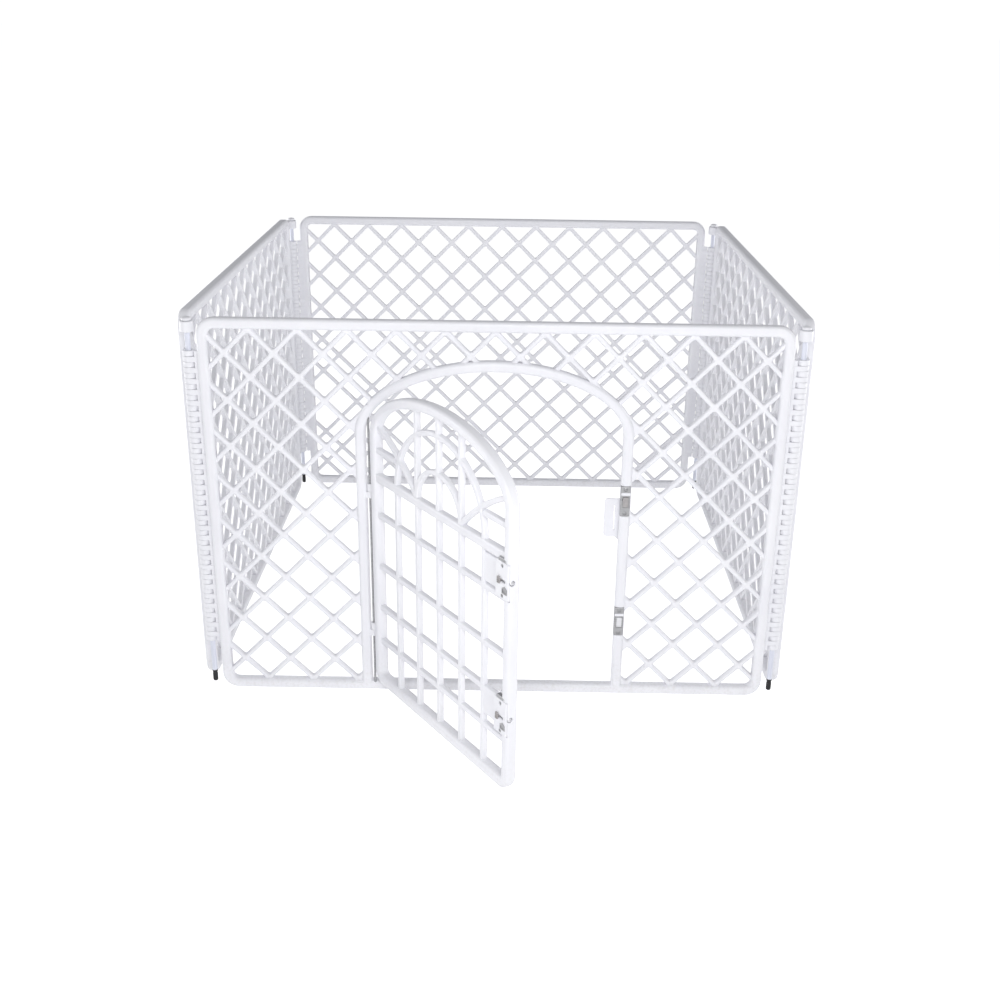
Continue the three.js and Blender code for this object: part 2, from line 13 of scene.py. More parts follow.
import bmesh
import bpy
import numpy as np
from mathutils import Matrix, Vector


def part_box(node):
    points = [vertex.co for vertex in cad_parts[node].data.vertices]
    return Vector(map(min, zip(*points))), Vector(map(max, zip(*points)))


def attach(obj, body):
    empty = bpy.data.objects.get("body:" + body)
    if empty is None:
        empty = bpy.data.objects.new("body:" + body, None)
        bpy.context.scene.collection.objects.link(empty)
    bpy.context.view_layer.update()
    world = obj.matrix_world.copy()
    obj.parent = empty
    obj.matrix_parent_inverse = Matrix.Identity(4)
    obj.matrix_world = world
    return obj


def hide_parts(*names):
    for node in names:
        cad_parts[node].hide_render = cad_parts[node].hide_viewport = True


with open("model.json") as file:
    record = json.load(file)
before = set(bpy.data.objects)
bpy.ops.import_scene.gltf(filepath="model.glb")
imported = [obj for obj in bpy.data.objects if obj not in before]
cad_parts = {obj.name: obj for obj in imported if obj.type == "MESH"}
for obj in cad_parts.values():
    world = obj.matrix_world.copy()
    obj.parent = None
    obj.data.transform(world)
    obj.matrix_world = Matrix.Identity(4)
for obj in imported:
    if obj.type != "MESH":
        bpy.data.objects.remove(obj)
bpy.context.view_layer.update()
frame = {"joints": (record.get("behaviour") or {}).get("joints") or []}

# %% [markdown]
# ## Where things are
#
# The joints say where each rod and the door's hinge stand, and the boxes of the parts say how tall and how
# deep the panels are. Everything that could move if the design moved is read from there. Only the small
# sizes that a maker would pick for the look, such as how round an edge is, are given.

# %% Read the places from the frame
MM = 0.001
joints = {joint["name"]: joint for joint in frame["joints"]}
left_x, front_y = joints["fold_left"]["pos_m"][:2]
right_x = joints["fold_right"]["pos_m"][0]
back_y = joints["fold_back"]["pos_m"][1]
half = (right_x - left_x) / 2
middle_y = (front_y + back_y) / 2
panel_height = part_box("back_panel")[1].z
outer_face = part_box("back_panel")[1].y - back_y
panel_depth = 18 * MM
inner_face = outer_face - panel_depth
middle_face = (inner_face + outer_face) / 2
hinge_x, hinge_y = joints["door_swing"]["pos_m"][:2]
door_open = joints["door_swing"]["range_deg"][1]
print("rods", 2 * half, "apart, panels", panel_height, "high, door open", door_open, "degrees")

# %% [markdown]
# ## From a formula to a mesh
#
# Every surface here is a grid: one number runs along it and one runs round it. A grid needs only one list of
# faces, whatever it is bent into, and numpy works out all its points at once. The points and faces of one
# closed surface are called a shell, and a piece is one or more shells welded together.

# %% Grids, welding and objects
WELD = 1e-6


def grid_faces(rows, columns, rows_close=False, columns_close=True):
    """Four-sided faces of a grid whose points are numbered row by row; a closing side joins last to first."""
    row = np.arange(rows if rows_close else rows - 1)
    column = np.arange(columns if columns_close else columns - 1)
    row, column = np.meshgrid(row, column, indexing="ij")
    next_row, next_column = (row + 1) % rows, (column + 1) % columns
    corners = [row * columns + column, row * columns + next_column]
    corners += [next_row * columns + next_column, next_row * columns + column]
    return np.stack(corners, -1).reshape(-1, 4).tolist()


def capped(rows, columns):
    """Faces of a grid that closes round itself, with one flat face over each open end."""
    last = (rows - 1) * columns
    return grid_faces(rows, columns) + [list(range(columns)), list(range(last, last + columns))]


def piece_from(name, shells):
    """One object from several shells: their points are welded and their faces turned outwards."""
    points, faces, count = [], [], 0
    for shell_points, shell_faces in shells:
        points.append(shell_points)
        faces += [[index + count for index in face] for face in shell_faces]
        count += len(shell_points)
    mesh = bpy.data.meshes.new(name)
    mesh.from_pydata(np.vstack(points).tolist(), [], faces)
    work = bmesh.new()
    work.from_mesh(mesh)
    bmesh.ops.remove_doubles(work, verts=work.verts, dist=WELD)
    bmesh.ops.recalc_face_normals(work, faces=work.faces)
    work.to_mesh(mesh)
    work.free()
    piece = bpy.data.objects.new(name, mesh)
    bpy.context.scene.collection.objects.link(piece)
    return piece


# %% [markdown]
# ## Adding and cutting
#
# A moulding is one lump of plastic. Bars that only pass through each other would look right, but the mesh
# would hold walls inside walls, so the shells are fused with a Boolean modifier that is applied at once. The
# Manifold solver is the quick one, and it asks for closed shells, which is what the grids give.


# %% Fuse, cut and keep
def combine(piece, shells, operation):
    """Applies one Boolean between a piece and the shells of a tool, and throws the tool away."""
    tool = piece_from("tool", shells)
    modifier = piece.modifiers.new(operation, "BOOLEAN")
    modifier.operation = operation
    modifier.solver = "MANIFOLD"
    modifier.object = tool
    made = bpy.data.meshes.new_from_object(piece.evaluated_get(bpy.context.evaluated_depsgraph_get()))
    piece.modifiers.clear()
    for spare in (piece.data, tool.data):
        spare.name = "spare"
    piece.data = made
    made.name = piece.name
    bpy.data.objects.remove(tool)
    return piece


def fuse(piece, shells):
    return combine(piece, shells, "UNION")


def cut(piece, shells):
    return combine(piece, shells, "DIFFERENCE")


def keep(piece, shells):
    return combine(piece, shells, "INTERSECT")


# %% [markdown]
# ## Profiles, bars, plates and turned pieces
#
# Four ways of bending a grid make the whole pen. A section is carried along a flat path for a bar, or spread
# between an outer and an inner outline for a frame. A plate is an outline that steps inwards near its two
# faces, so its rims are round. A turned piece is a profile spun about an axis.


# %% Outlines
def arc(centre_x, centre_z, radius_x, radius_z, start, end, steps):
    """Points on part of an ellipse: centre plus each radius times the cosine and sine of the angle."""
    angle = np.radians(np.linspace(start, end, steps + 1))
    return np.stack([centre_x + radius_x * np.cos(angle), centre_z + radius_z * np.sin(angle)], -1)


def rounded_rectangle(x0, x1, z0, z1, radius, steps=6):
    """Four quarter circles, one at each corner, joined by the straight sides between them."""
    corners = [(x1 - radius, z0 + radius, -90), (x1 - radius, z1 - radius, 0)]
    corners += [(x0 + radius, z1 - radius, 90), (x0 + radius, z0 + radius, 180)]
    return np.vstack([arc(x, z, radius, radius, turn, turn + 90, steps) for x, z, turn in corners])


def section(width, depth, radius, steps=4):
    """A bar's cross section: a rectangle of that width and depth with round corners."""
    return rounded_rectangle(-width / 2, width / 2, -depth / 2, depth / 2, radius, steps)


# %% Bars, frames, plates and turned pieces
def unit(vectors):
    return vectors / np.linalg.norm(vectors, axis=-1, keepdims=True)


def bar(path, shape, depth):
    """A section carried along a flat path in X and Z: path plus the section's width along the path's side.

    The section's other number is depth along Y, about the depth given. The ends are flat."""
    path = np.asarray(path, float)
    steps = unit(np.diff(path, axis=0))
    ahead = unit(np.vstack([steps[:1], steps[:-1] + steps[1:], steps[-1:]]))
    side = np.stack([ahead[:, 1], -ahead[:, 0]], -1)
    across = path[:, None, :] + shape[None, :, :1] * side[:, None, :]
    along_y = np.broadcast_to(depth + shape[None, :, 1], across.shape[:2])
    points = np.stack([across[..., 0], along_y, across[..., 1]], -1)
    return points.reshape(-1, 3), capped(len(path), len(shape))


def frame_between(outer, inner, shape, depth, closed=True):
    """A section spread between two outlines: inner plus a share of the way to outer, and depth along Y."""
    width = np.ptp(shape[:, 0])
    share = (shape[:, 0] / width + 0.5)[None, :, None]
    across = inner[:, None, :] * (1 - share) + outer[:, None, :] * share
    along_y = np.broadcast_to(depth + shape[None, :, 1], across.shape[:2])
    points = np.stack([across[..., 0], along_y, across[..., 1]], -1).reshape(-1, 3)
    rows, columns = len(outer), len(shape)
    return points, grid_faces(rows, columns, rows_close=True) if closed else capped(rows, columns)


def plate(outline, low, high, rim=0.0, upright=True, steps=3):
    """An outline filled from low to high: near each face it steps inwards by a quarter circle of the rim.

    An upright plate is drawn in X and Z and is thick along Y; any other lies in X and Y and rises along Z."""
    outline = np.asarray(outline, float)
    along = unit(np.roll(outline, -1, 0) - outline)
    along = unit(along + np.roll(along, 1, 0))
    outward = np.stack([along[:, 1], -along[:, 0]], -1)
    angle = np.radians(np.linspace(0, 90, steps + 1)) if rim else np.radians([90])
    inset = rim * (1 - np.sin(angle))
    rise = rim * (1 - np.cos(angle))
    inset = np.concatenate([inset, inset[::-1]])
    level = np.concatenate([low + rise, high - rise[::-1]])
    flat = outline[None] - inset[:, None, None] * outward[None]
    level = np.broadcast_to(level[:, None], flat.shape[:2])
    parts = [flat[..., 0], level, flat[..., 1]] if upright else [flat[..., 0], flat[..., 1], level]
    return np.stack(parts, -1).reshape(-1, 3), capped(len(flat), len(outline))


def block(x, y, z, rim=0.0):
    """A box between the pairs of limits given, with its upright edges square and its faces' rims round."""
    outline = [(x[0], z[0]), (x[1], z[0]), (x[1], z[1]), (x[0], z[1])]
    return plate(outline, y[0], y[1], rim)


def turned(profile, centre, axis="z", sides=24):
    """A profile of radius and height spun about an axis through a centre: radius times the circle's points."""
    profile = np.asarray(profile, float)
    angle = np.linspace(0, 2 * np.pi, sides, endpoint=False)
    ring_a = profile[:, :1] * np.cos(angle)
    ring_b = profile[:, :1] * np.sin(angle)
    height = np.broadcast_to(profile[:, 1:], ring_a.shape)
    order = {"z": (ring_a, ring_b, height), "y": (ring_a, height, ring_b), "x": (height, ring_a, ring_b)}
    points = np.stack(order[axis], -1).reshape(-1, 3) + np.asarray(centre, float)
    return points, capped(len(profile), sides)


# %% [markdown]
# ## The lattice
#
# Square openings stand on their corners, 71 mm from crossing to crossing. Cutting two hundred holes in a
# sheet would leave sharp edges, so one opening is worked out with its round corners and the soft edge that a
# mould leaves, out to the middle of the bars around it. Copies of that tile side by side are the sheet.

# %% One tile of the lattice
cell_step = 71 * MM / 2
bar_width = 7.5 * MM
lattice_depth = 9 * MM
inner_round = (1.2 * MM, 1.2 * MM)
outer_flank = (2.4 * MM, 4.2 * MM)
opening_fillet = 2.5 * MM
CORNER_STEPS = 3
ROUND_STEPS = 4


def lattice_tile():
    """Rings from the inside, through the opening, to the outside: an arc at each corner, moved out by an inset.

    The first and last ring lie on the bars' middle lines, where each corner's points meet in one."""
    turn = np.radians(np.repeat(np.arange(4) * 90.0, CORNER_STEPS + 1))
    spread = np.radians(np.tile(np.linspace(-45, 45, CORNER_STEPS + 1), 4))
    corner = np.stack([np.cos(turn), np.sin(turn)], -1)
    outward = np.stack([np.cos(turn + spread), np.sin(turn + spread)], -1)
    reach = cell_step - bar_width / math.sqrt(2)
    arc_centre = (reach - opening_fillet * math.sqrt(2)) * corner
    angle = np.radians(np.linspace(0, 90, ROUND_STEPS + 1))
    inset = [across * (1 - np.sin(angle)) for across, _ in (inner_round, outer_flank)]
    level = [lattice_depth / 2 - depth * (1 - np.cos(angle)) for _, depth in (inner_round, outer_flank)]
    inset = np.concatenate([inset[0], inset[1][::-1]])
    level = np.concatenate([level[0], -level[1][::-1]])
    rings = arc_centre[None] + (opening_fillet + inset)[:, None, None] * outward[None]
    edge = (cell_step * corner)[None]
    flat = np.concatenate([edge, rings, edge])
    level = np.concatenate([[lattice_depth / 2], level, [-lattice_depth / 2]])
    level = np.broadcast_to(level[:, None], flat.shape[:2])
    return np.stack([flat[..., 0], level, flat[..., 1]], -1)


# %% The sheet of tiles
NEIGHBOURS = [(1, 1), (-1, 1), (-1, -1), (1, -1)]


def lattice_sheet(half_width, height, is_filled):
    """The tile copied to every opening of a chequered grid; sides with no neighbour are walled up.

    Where a filled place has no opening, a plain diamond closes the sheet between its neighbours."""
    tile = lattice_tile()
    rings, samples = tile.shape[:2]
    columns = math.ceil(half_width / cell_step)
    rows = math.ceil(height / 2 / cell_step)
    known = {(i, j) for i in range(-columns, columns + 1) for j in range(-rows, rows + 1) if (i + j) % 2}
    centres = {(i, j): (i * cell_step, -middle_face, j * cell_step + height / 2) for i, j in sorted(known)}
    places = [place for place, (x, _, z) in centres.items() if not is_filled(x, z)]
    points = np.array([centres[place] for place in places])[:, None, :] + tile.reshape(1, -1, 3)
    one = np.array(grid_faces(rings, samples))
    faces = np.arange(len(places))[:, None, None] * rings * samples + one[None]
    shells = [(points.reshape(-1, 3), faces.reshape(-1, 4).tolist())]
    corners = tile[[0, -1]][:, :: CORNER_STEPS + 1].reshape(8, 3)
    for (i, j), centre in centres.items():
        open_sides = [side for side, (di, dj) in enumerate(NEIGHBOURS) if (i + di, j + dj) not in known]
        walls = [[side, (side + 1) % 4, (side + 1) % 4 + 4, side + 4] for side in open_sides]
        ends = [[0, 1, 2, 3], [4, 5, 6, 7]] if is_filled(centre[0], centre[2]) else []
        if walls or ends:
            shells.append((corners + np.array(centre), walls + ends))
    return shells


print("one tile has", lattice_tile().shape[0] * lattice_tile().shape[1], "points")

# %% [markdown]
# ## A panel
#
# The frame of a panel is one round-edged section led round a rectangle with big corners. The lattice is
# trimmed to the middle of that frame, so every bar runs into it. The doorway in the front panel has a frame
# of its own with a flat arch, and the lattice is trimmed to that too.

# %% The panel's frame and lattice
rail_width = 16 * MM
stile_inset = 16 * MM
corner_radius = 25 * MM
inner_radius = 10 * MM
frame_round = 5.5 * MM
frame_half = half - stile_inset
frame_section = section(rail_width, panel_depth, frame_round, 5)

door_gap = 4.5 * MM
opening_half = -hinge_x + door_gap
arch_spring = 430 * MM
arch_rise = 96 * MM
arch_steps = 48


def panel_outline(inset, radius):
    """The panel's outline moved inwards, with corners of the radius given."""
    return rounded_rectangle(-frame_half + inset, frame_half - inset, inset, panel_height - inset, radius)


def arch_outline(inset, bottom, centre=0.0, half_width=opening_half, rise=arch_rise):
    """A doorway from right foot over the top to left foot: straight sides, then half an ellipse."""
    arch = arc(centre, arch_spring, half_width - inset, rise - inset, 0, 180, arch_steps)
    feet = [(centre + half_width - inset, bottom)], [(centre - half_width + inset, bottom)]
    return np.vstack([feet[0], arch, feet[1]])


def panel_frame():
    outer = panel_outline(0, corner_radius)
    inner = panel_outline(rail_width, inner_radius)
    return frame_between(outer, inner, frame_section, -middle_face)


def inside_doorway(x, z):
    """True for an opening that ends at the doorway's frame, or peeps out past it by less than a few millimetres."""
    return abs(x) + cell_step < opening_half + rail_width + 10 * MM and z < arch_spring + 20 * MM


def trimmed_lattice(name, has_doorway):
    """The lattice as far as the frame's middle line, with the doorway taken out of it in the front panel."""
    sheet = piece_from(name, lattice_sheet(frame_half, panel_height, inside_doorway if has_doorway else lambda x, z: False))
    edge = rail_width / 2
    near, far = -middle_face - lattice_depth, -middle_face + lattice_depth
    keep(sheet, [plate(panel_outline(edge, corner_radius - edge), near, far)])
    if has_doorway:
        cut(sheet, [plate(arch_outline(-edge, -edge), near, far)])
    return sheet


# %% [markdown]
# ## The corner hinges
#
# Panels meet at a rod, like the halves of a piano hinge: short knuckles from one panel fill the gaps between
# the other's. A knuckle is a round eye with a flat web back to the panel's edge, and the eyes are short, so
# the corner looks finely ribbed. A flat leaf joins the webs of one stack, so little light comes through. The
# side panels also carry an ear at the top, above a gap where the rod shows.

# %% Knuckles, ears and their bores
knuckle_radius = 9 * MM
knuckle_bottom = 78 * MM
knuckle_top = 549 * MM
knuckle_count = 57
knuckle_gap = 0.25 * MM
knuckle_rim = 0.6 * MM
web_reach = stile_inset + 4 * MM
leaf_gap = 0.7 * MM
leaf_step = 0.6 * MM
ear_bottom = 576 * MM
ear_top = 592 * MM
ear_radius = 10 * MM
ear_reach = 28 * MM
bore_radius = 4.5 * MM


def eye_outline(end, radius, reach):
    """Seen from above: most of a circle round the rod, then a web back to the panel on its outer half."""
    lip = math.degrees(math.asin(inner_face / radius))
    eye = arc(0, 0, radius, radius, -90, -360 - lip, 18)
    outline = np.vstack([[(reach, -radius)], eye, [(reach, -inner_face)]])
    outline = outline * [-end, 1] + [end * half, 0]
    return outline if end > 0 else outline[::-1]


def knuckles(first):
    """Every other step of the stack at both ends, beginning with the step given."""
    step = (knuckle_top - knuckle_bottom) / knuckle_count
    shells = []
    for end in (-1, 1):
        outline = eye_outline(end, knuckle_radius, web_reach)
        for index in range(first, knuckle_count, 2):
            low = knuckle_bottom + index * step + knuckle_gap / 2
            shells.append(plate(outline, low, low + step - knuckle_gap, knuckle_rim, upright=False, steps=2))
    return shells


def hinge_leaves():
    """The flat strip that joins a stack's webs, ending just clear of the other panel's eyes."""
    shells = []
    for end in (-1, 1):
        near, far = sorted([end * (half - knuckle_radius - leaf_gap), end * (half - web_reach)])
        y = (-knuckle_radius + leaf_step, -inner_face - leaf_step)
        shells.append(block((near, far), y, (knuckle_bottom, knuckle_top), 0.6 * MM))
    return shells


def ears():
    outlines = [eye_outline(end, ear_radius, ear_reach) for end in (-1, 1)]
    return [plate(outline, ear_bottom, ear_top, 1.2 * MM, upright=False) for outline in outlines]


def rod_bores():
    profile = [(bore_radius, -MM), (bore_radius, panel_height + MM)]
    return [turned(profile, (end * half, 0, 0), sides=32) for end in (-1, 1)]


# %% Moulding a plain panel
def place(piece, turn, x, y):
    """Turns a piece about Z and moves it, in its mesh, so that its object stays at the origin."""
    piece.data.transform(Matrix.Translation((x, y, 0)) @ Matrix.Rotation(math.radians(turn), 4, "Z"))
    return piece


def moulded_panel(name, is_side, has_doorway=False):
    panel = trimmed_lattice(name, has_doorway)
    fuse(panel, [panel_frame()])
    fuse(panel, knuckles(0 if is_side else 1))
    fuse(panel, hinge_leaves())
    if is_side:
        fuse(panel, ears())
    cut(panel, rod_bores())
    return panel


left = moulded_panel("left_panel_moulding", is_side=True)
right = bpy.data.objects.new("right_panel_moulding", left.data.copy())
bpy.context.scene.collection.objects.link(right)
back = moulded_panel("back_panel_moulding", is_side=False)
place(left, -90, -half, middle_y)
place(right, 90, half, middle_y)
place(back, 180, 0, back_y)
print("a side panel has", len(left.data.polygons), "faces")

# %% [markdown]
# ## The front panel
#
# The doorway's frame is the same round-edged section, led up one side, over the arch and down the other. A
# thin tab behind the right-hand stile stops the door. Two small bearers on the left stile carry the hinge rod,
# and two pockets on the right take the keepers of the latches.

# %% The doorway's frame, tab, bearers and pockets
doorway_foot = 6 * MM
lug_heights = [108 * MM, 340 * MM]
lug_height = 13 * MM
lug_radius = 4 * MM
bearer_height = 10 * MM
lug_gap = 0.8 * MM
latch_heights = [135 * MM, 336 * MM]
latch_height = 52 * MM
latch_fit = 0.4 * MM
keeper_width = 14 * MM
keeper_height = 48 * MM
keeper_drop = 5 * MM
keeper_thickness = 10 * MM
keeper_proud = 0.5 * MM
hinge_depth = front_y - hinge_y
hinge_rod_radius = 1.75 * MM
tab_reach = 22 * MM
tab_bottom, tab_top = 266 * MM, 328 * MM
tab_radius = 5 * MM
tab_gusset = 6 * MM
tab_thickness = 3 * MM


def doorway_frame():
    outer = arch_outline(-rail_width, doorway_foot)
    inner = arch_outline(0, doorway_foot)
    return frame_between(outer, inner, frame_section, -middle_face, closed=False)


def stop_tab():
    """A thin plate behind the stile: round outer corners, a slanting gusset below, and the root that joins it."""
    face = -inner_face + 0.5 * MM
    x0, x1 = opening_half - tab_reach, opening_half + 12 * MM
    gusset = [(opening_half - tab_gusset, tab_bottom), (opening_half + MM, tab_bottom - tab_gusset)]
    right = [(x1, tab_bottom - tab_gusset), (x1, tab_top)]
    top_corner = arc(x0 + tab_radius, tab_top - tab_radius, tab_radius, tab_radius, 90, 180, 6)
    low_corner = arc(x0 + tab_radius, tab_bottom + tab_radius, tab_radius, tab_radius, 180, 270, 6)
    outline = np.vstack([gusset, right, top_corner, low_corner])
    root = block((opening_half + MM, x1 - MM), (face - 3 * MM, face + MM), (tab_bottom + 6 * MM, tab_top - 6 * MM))
    return [plate(outline, face, face + tab_thickness, 0.8 * MM)], [root]


def tab_slot():
    """A thin upright slot between the tab and the stile, with round ends."""
    x = opening_half - 6.5 * MM
    outline = rounded_rectangle(x - 0.8 * MM, x + 0.8 * MM, tab_bottom + 11 * MM, tab_top - 11 * MM, 0.7 * MM, 3)
    return plate(outline, -inner_face - MM, tab_thickness + 2 * MM)


def bearer(lug_bottom):
    """A round eye on the hinge rod with a web to the stile, just under a lug of the door."""
    top = lug_bottom - lug_gap / 2
    eye = arc(0, 0, lug_radius, lug_radius, -90, 90, 10)
    outline = np.vstack([eye, [(-door_gap - 2 * MM, lug_radius), (-door_gap - 2 * MM, -lug_radius / 3)]])
    outline = outline + [hinge_x, -hinge_depth]
    return plate(outline, top - bearer_height, top, 0.5 * MM, upright=False)


def keeper_pocket(height):
    x = (opening_half - MM, opening_half + keeper_width + latch_fit)
    y = (-outer_face - MM, -outer_face - keeper_proud + keeper_thickness + latch_fit)
    reach = keeper_height / 2 + latch_fit
    return block(x, y, (height - keeper_drop - reach, height - keeper_drop + reach))


# %% Moulding the front panel
front = moulded_panel("front_panel_moulding", is_side=False, has_doorway=True)
fuse(front, [doorway_frame()])
tab, tab_root = stop_tab()
fuse(front, tab)
fuse(front, tab_root)
fuse(front, [bearer(low) for low in lug_heights])
cut(front, [tab_slot()] + [keeper_pocket(height) for height in latch_heights])
rod_path = [(hinge_rod_radius + 0.3 * MM, -MM), (hinge_rod_radius + 0.3 * MM, panel_height - 90 * MM)]
cut(front, [turned(rod_path, (hinge_x, -hinge_depth, 0), sides=16)])
place(front, 0, 0, front_y)
print("the front panel has", len(front.data.polygons), "faces")

# %% [markdown]
# ## The corner rods
#
# Coated steel rods drop down through the knuckles; their white coating is coloured darker and bluer, painted
# shade for the dim corners. A white cap keeps each from falling through, and a black foot closes its lower
# end. All three are turned pieces, and their heights come from the parts of the frame.

# %% Rods, caps and feet
corners = {
    "front_left": (left_x, front_y),
    "front_right": (right_x, front_y),
    "back_right": (right_x, back_y),
    "back_left": (left_x, back_y),
}
rod_radius = 4 * MM
corner_pieces = []
for corner, (x, y) in corners.items():
    foot_low, foot_high = (edge.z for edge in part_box("rod_foot_" + corner))
    cap_low, cap_high = (edge.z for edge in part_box("rod_cap_" + corner))
    cap_rise = cap_high - cap_low
    rod = [(0, foot_high - 2 * MM), (rod_radius, foot_high - 2 * MM), (rod_radius, cap_low + MM), (0, cap_low + MM)]
    dome = arc(0, cap_low + 0.45 * cap_rise, 7 * MM, 0.55 * cap_rise, 0, 90, 8)
    cap = np.vstack([[(0, cap_low), (6.6 * MM, cap_low), (7 * MM, cap_low + 0.4 * MM)], dome])
    sole = [(0, foot_low), (2.8 * MM, foot_low), (3.7 * MM, foot_low + 0.7 * MM), (4 * MM, foot_low + 2 * MM)]
    neck = [(4 * MM, foot_high - 7 * MM), (3.5 * MM, foot_high - 6 * MM), (3.5 * MM, foot_high - 4.5 * MM)]
    collar = [(4.2 * MM, foot_high - 3.5 * MM), (4.2 * MM, foot_high - 0.4 * MM), (3.8 * MM, foot_high), (0, foot_high)]
    for kind, profile, finish in [("rod", rod, "coated_steel"), ("cap", cap, "white_plastic"),
                                  ("foot", sole + neck + collar, "rubber")]:
        name = {"rod": "rod_", "cap": "rod_cap_", "foot": "rod_foot_"}[kind] + corner
        piece = piece_from("corner_" + kind + "_" + corner, [turned(profile, (x, y, 0), sides=32)])
        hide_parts(name)
        corner_pieces.append((piece, "rod_" + corner, finish))
print("corner pieces", len(corner_pieces))

# %% [markdown]
# ## The door
#
# The door is drawn closed, with its hinge on the origin, and is turned to where it stands when it is done.
# Its frame is spread between two arched outlines. Straight bars and slim rails fill it, and above the wide
# transom two arcs stand one inside the other, crossed by a pair of bowed bars that lean out to the stiles.

# %% The door's frame
door_width = 366 * MM
door_left = door_gap
door_right = door_left + door_width
door_middle = (door_left + door_right) / 2
door_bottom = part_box("door")[0].z
door_frame = 16 * MM
door_foot = 18 * MM
door_rise = arch_rise - 4.5 * MM
door_depth = hinge_depth - middle_face
foot_radius = 22 * MM


def door_outline(inset, foot, radius):
    """The door's outline moved inwards: two round feet at the bottom, straight sides, and half an ellipse."""
    half_width = door_width / 2 - inset
    x0, x1 = door_middle - half_width, door_middle + half_width
    low = door_bottom + foot
    left_foot = arc(x0 + radius, low + radius, radius, radius, 180, 270, 6)
    right_foot = arc(x1 - radius, low + radius, radius, radius, 270, 360, 6)
    over = arc(door_middle, arch_spring, half_width, door_rise - inset, 0, 180, arch_steps)
    return np.vstack([left_foot, right_foot, over])


def door_ring():
    outer = door_outline(0, 0, foot_radius)
    inner = door_outline(door_frame, door_foot, foot_radius - door_frame)
    return frame_between(outer, inner, frame_section, door_depth)


# %% Bars, rails and tracery
transom_low, transom_high = 360 * MM, 374 * MM
rail_heights = [91.4 * MM, 149.2 * MM, 218.9 * MM, 302.2 * MM]
stub_height = 405 * MM
slim = section(8 * MM, 9 * MM, 2.2 * MM)
rail_slim = section(9 * MM, 9 * MM, 2.2 * MM)
column_pitch = (door_width - 2 * door_frame + 8 * MM) / 6
bar_places = [door_middle + step * column_pitch for step in (-2, -1, 0, 1, 2)]
stile_middle = door_width / 2 - door_frame / 2
foot_middle = door_bottom + door_foot / 2


def under_arch(x):
    """How high the middle line of the arch stands over a place along the door."""
    share = (x - door_middle) / stile_middle
    return arch_spring + (door_rise - door_frame / 2) * math.sqrt(1 - share * share)


def level_bar(x0, x1, height, shape):
    return bar([(x0, height), (x1, height)], shape, door_depth)


def bowed(foot, head, bulge):
    """A straight line from foot to head with a parabola of the bulge added square to it."""
    foot, head = np.array(foot), np.array(head)
    share = np.linspace(0, 1, 9)[:, None]
    square = np.array([foot[1] - head[1], head[0] - foot[0]]) / np.linalg.norm(head - foot)
    square = square if square[1] > 0 else -square
    return foot + share * (head - foot) + 4 * bulge * share * (1 - share) * square


uprights = []
for number, x in enumerate(bar_places):
    top = transom_low + 4 * MM if number in (0, 4) else under_arch(x)
    uprights.append(bar([(x, foot_middle), (x, top)], slim, door_depth))
x0, x1 = door_middle - stile_middle, door_middle + stile_middle
rails = [level_bar(x0, x1, height + 4.5 * MM, rail_slim) for height in rail_heights]
transom = section(transom_high - transom_low, 12 * MM, 3 * MM)
rails.append(level_bar(x0, x1, (transom_low + transom_high) / 2, transom))
arc_foot = transom_high - 2 * MM
big_arc = bar(arc(door_middle, arc_foot, 2 * column_pitch, 108 * MM, 0, 180, 40), slim, door_depth)
small_arc = bar(arc(door_middle, arc_foot, column_pitch, 54 * MM, 0, 180, 28), slim, door_depth)
leaning, stubs = [], []
for side in (-1, 1):
    foot = (door_middle + side * column_pitch, arc_foot)
    head = (door_middle + side * (stile_middle - 2 * MM), arc_foot + 78 * MM)
    leaning.append(bar(bowed(foot, head, 8 * MM), slim, door_depth))
    ends = sorted([door_middle + side * 2 * column_pitch, door_middle + side * stile_middle])
    stubs.append(level_bar(*ends, stub_height + 4.5 * MM, rail_slim))

# %% [markdown]
# ## Seats for the latches, and the hinge lugs
#
# Each latch lies in a seat cut into the free stile, with a wall of plastic behind it and a flat web beside it. On the other stile two
# lugs reach back to the hinge rod and stand on the bearers of the doorway.

# %% Moulding the door
latch_width = 31 * MM
latch_thickness = 12 * MM
latch_proud = 1 * MM
seat_wall = 3 * MM
cell_plate_reach = 20.5 * MM
end_wall = 1.4 * MM
door_front = hinge_depth - outer_face
door_back = hinge_depth - inner_face
case_front = door_front - latch_proud
case_back = case_front + latch_thickness
bolt_radius = 3.6 * MM
bolt_y = case_front + latch_thickness / 2


def seat_backing(height):
    reach = latch_height / 2 + seat_wall
    x = (door_right - latch_width - seat_wall, door_right - frame_round)
    outline = rounded_rectangle(*x, height - reach, height + reach, 3 * MM)
    return plate(outline, case_back - MM, door_back - 0.5 * MM, 1.5 * MM)


def cell_plate(height):
    """The flat web between the last upright and the latch, a little shorter than the latch."""
    x = (bar_places[-1], door_right - latch_width)
    y = (door_depth - 3.6 * MM, door_depth + 4 * MM)
    return block(x, y, (height - cell_plate_reach, height + cell_plate_reach), 0.8 * MM)


def latch_seat(height):
    reach = latch_height / 2 + latch_fit
    x = (door_right - latch_width - latch_fit, door_right - end_wall)
    return block(x, (case_front - 2 * MM, case_back + latch_fit), (height - reach, height + reach))


def bolt_hole(height):
    """The round hole in the free stile's edge where the bolt comes out."""
    profile = [(bolt_radius + 0.4 * MM, door_right - 8 * MM), (bolt_radius + 0.4 * MM, door_right + 2 * MM)]
    return turned(profile, (0, bolt_y, height), "x", 32)


def lug(low):
    eye = arc(0, 0, lug_radius, lug_radius, 90, 270, 10)
    outline = np.vstack([eye, [(door_left + 2 * MM, -lug_radius / 3), (door_left + 2 * MM, lug_radius)]])
    return plate(outline, low, low + lug_height - lug_gap / 2, 0.5 * MM, upright=False)


